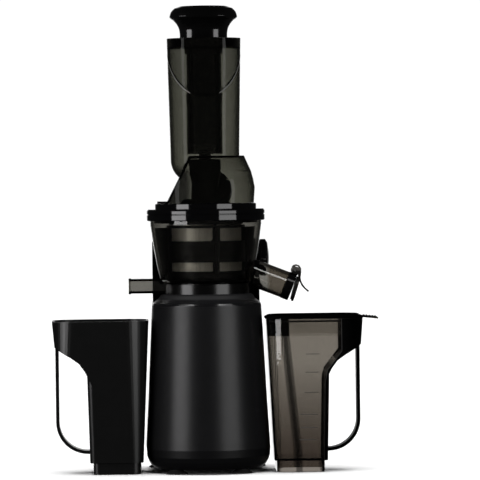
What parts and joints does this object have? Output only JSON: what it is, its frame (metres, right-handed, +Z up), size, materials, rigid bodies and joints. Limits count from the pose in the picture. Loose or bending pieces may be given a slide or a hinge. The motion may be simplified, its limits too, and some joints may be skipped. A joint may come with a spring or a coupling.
{
  "type": "cold press juicer",
  "caption": "Upright slow juicer: round motor base with rear column and side dial, smoky bowl with auger and strainer, tall clear hopper with pusher, pulp container, lidded juice jug.",
  "frame": {"origin": "the drive axis where it meets the surface that the juicer stands on", "axes": "+Z up along the drive axis, -Y towards the front, +X towards the juice spout"},
  "size_m": [0.3483, 0.1768, 0.4977],
  "materials": {
    "matte_black": "satin, finely textured",
    "gloss_black": "polished",
    "smoke_dark": "polished smoky clear plastic",
    "smoke_clear": "polished smoky clear plastic",
    "rubber_black": "matt",
    "silicone_grey": "matt",
    "steel": "brushed",
    "steel_mesh": "perforated sheet",
    "motor_iron": "lacquered",
    "copper_wire": "enamelled",
    "white_nylon": "satin",
    "cast_alloy": "as cast",
    "board_green": "lacquered"
  },
  "bodies": {
    "base": {"body_shell": "matte_black", "rear_cover": "matte_black", "bottom_pan": "matte_black", "dock_ring": "gloss_black", "suction_feet": "rubber_black", "foot_screws": "steel", "pan_screws": "steel", "motor_bell_lower": "cast_alloy", "motor_bell_upper": "cast_alloy", "motor_bolts": "steel", "stator_core": "motor_iron", "stator_windings": "copper_wire", "motor_bearings": "steel", "gearbox_case": "white_nylon", "gearbox_cover": "white_nylon", "gearbox_screws": "steel", "layshaft_bushes": "copper_wire", "output_bearing": "steel", "shaft_seal": "rubber_black", "control_board": "board_green", "run_capacitor": "white_nylon", "selector_switch": "matte_black", "cord_gland": "rubber_black"},
    "rotor": {"rotor_core": "motor_iron", "motor_shaft": "steel", "motor_pinion": "steel", "cooling_fan": "gloss_black"},
    "layshaft_set": {"layshaft": "steel", "layshaft_gear": "white_nylon"},
    "drive": {"drive_shaft": "steel", "output_gear": "white_nylon"},
    "dial": {"control_dial": "gloss_black"},
    "bowl_set": {"bowl": "smoke_dark", "bowl_seal": "silicone_grey", "pulp_plug": "silicone_grey", "spout_ring": "gloss_black", "cap_pin": "steel", "strainer_frame": "matte_black", "strainer_mesh": "steel_mesh"},
    "cap": {"spout_cap": "gloss_black", "cap_gasket": "silicone_grey"},
    "auger_set": {"auger": "matte_black", "auger_hub": "steel", "auger_pin": "steel"},
    "wiper": {"wiper_ring": "gloss_black", "wiper_blades": "silicone_grey"},
    "wiper_gear": {"wiper_pinion": "white_nylon"},
    "lid": {"lid_ring": "gloss_black", "lid_seal": "silicone_grey", "hopper": "smoke_clear", "pin_bush": "white_nylon"},
    "insert": {"feed_cap": "gloss_black", "guide_tube": "smoke_dark", "feed_guard": "smoke_clear"},
    "pusher": {"pusher_knob": "gloss_black", "pusher_stem": "matte_black"},
    "container": {"pulp_container": "matte_black"},
    "jug": {"juice_jug": "smoke_clear"},
    "jug_cover": {"jug_lid": "gloss_black", "jug_lid_seal": "silicone_grey"}
  },
  "joints": [
    {"name": "rotor_spin", "type": "hinge", "parent": "base", "child": "rotor", "pos_m": [0, 0, 0.06], "axis": [0, 0, 1], "continuous": true},
    {"name": "layshaft_spin", "type": "hinge", "parent": "base", "child": "layshaft_set", "pos_m": [0, 0.027, 0.115], "axis": [0, 0, 1], "continuous": true},
    {"name": "drive_spin", "type": "hinge", "parent": "base", "child": "drive", "pos_m": [0, 0, 0.18], "axis": [0, 0, 1], "continuous": true},
    {"name": "dial_turn", "type": "hinge", "parent": "base", "child": "dial", "pos_m": [0.06, 0.056, 0.227], "axis": [1, 0, 0], "range_deg": [-45, 45]},
    {"name": "bowl_lift", "type": "slide", "parent": "base", "child": "bowl_set", "axis": [0, 0, 1], "range_m": [0, 0.065]},
    {"name": "cap_swing", "type": "hinge", "parent": "bowl_set", "child": "cap", "pos_m": [0.0946, 0, 0.2137], "axis": [0, -1, 0], "range_deg": [-4, 60]},
    {"name": "auger_spin", "type": "hinge", "parent": "bowl_set", "child": "auger_set", "pos_m": [0, 0, 0.24], "axis": [0, 0, 1], "continuous": true},
    {"name": "wiper_gear_spin", "type": "hinge", "parent": "bowl_set", "child": "wiper_gear", "pos_m": [0, 0.0225, 0.2077], "axis": [0, 0, 1], "continuous": true},
    {"name": "wiper_spin", "type": "hinge", "parent": "bowl_set", "child": "wiper", "pos_m": [0, 0, 0.22], "axis": [0, 0, 1], "continuous": true},
    {"name": "lid_lift", "type": "slide", "parent": "bowl_set", "child": "lid", "axis": [0, 0, 1], "range_m": [0, 0.085]},
    {"name": "insert_lift", "type": "slide", "parent": "lid", "child": "insert", "axis": [0, 0, 1], "range_m": [0, 0.13]},
    {"name": "pusher_lift", "type": "slide", "parent": "insert", "child": "pusher", "axis": [0, 0, 1], "range_m": [0, 0.12]},
    {"name": "container_pull", "type": "slide", "parent": "base", "child": "container", "axis": [-1, 0, 0], "range_m": [0, 0.1]},
    {"name": "jug_pull", "type": "slide", "parent": "base", "child": "jug", "axis": [1, 0, 0], "range_m": [0, 0.1]},
    {"name": "jug_lid_lift", "type": "slide", "parent": "jug", "child": "jug_cover", "axis": [0, 0, 1], "range_m": [0, 0.012]}
  ],
  "couplings": [
    {"joint": "layshaft_spin", "follows": "rotor_spin", "ratio": -0.28571},
    {"joint": "drive_spin", "follows": "rotor_spin", "ratio": 0.14286},
    {"joint": "auger_spin", "follows": "rotor_spin", "ratio": 0.14286},
    {"joint": "wiper_gear_spin", "follows": "rotor_spin", "ratio": -0.28571},
    {"joint": "wiper_spin", "follows": "rotor_spin", "ratio": -0.071429}
  ]
}
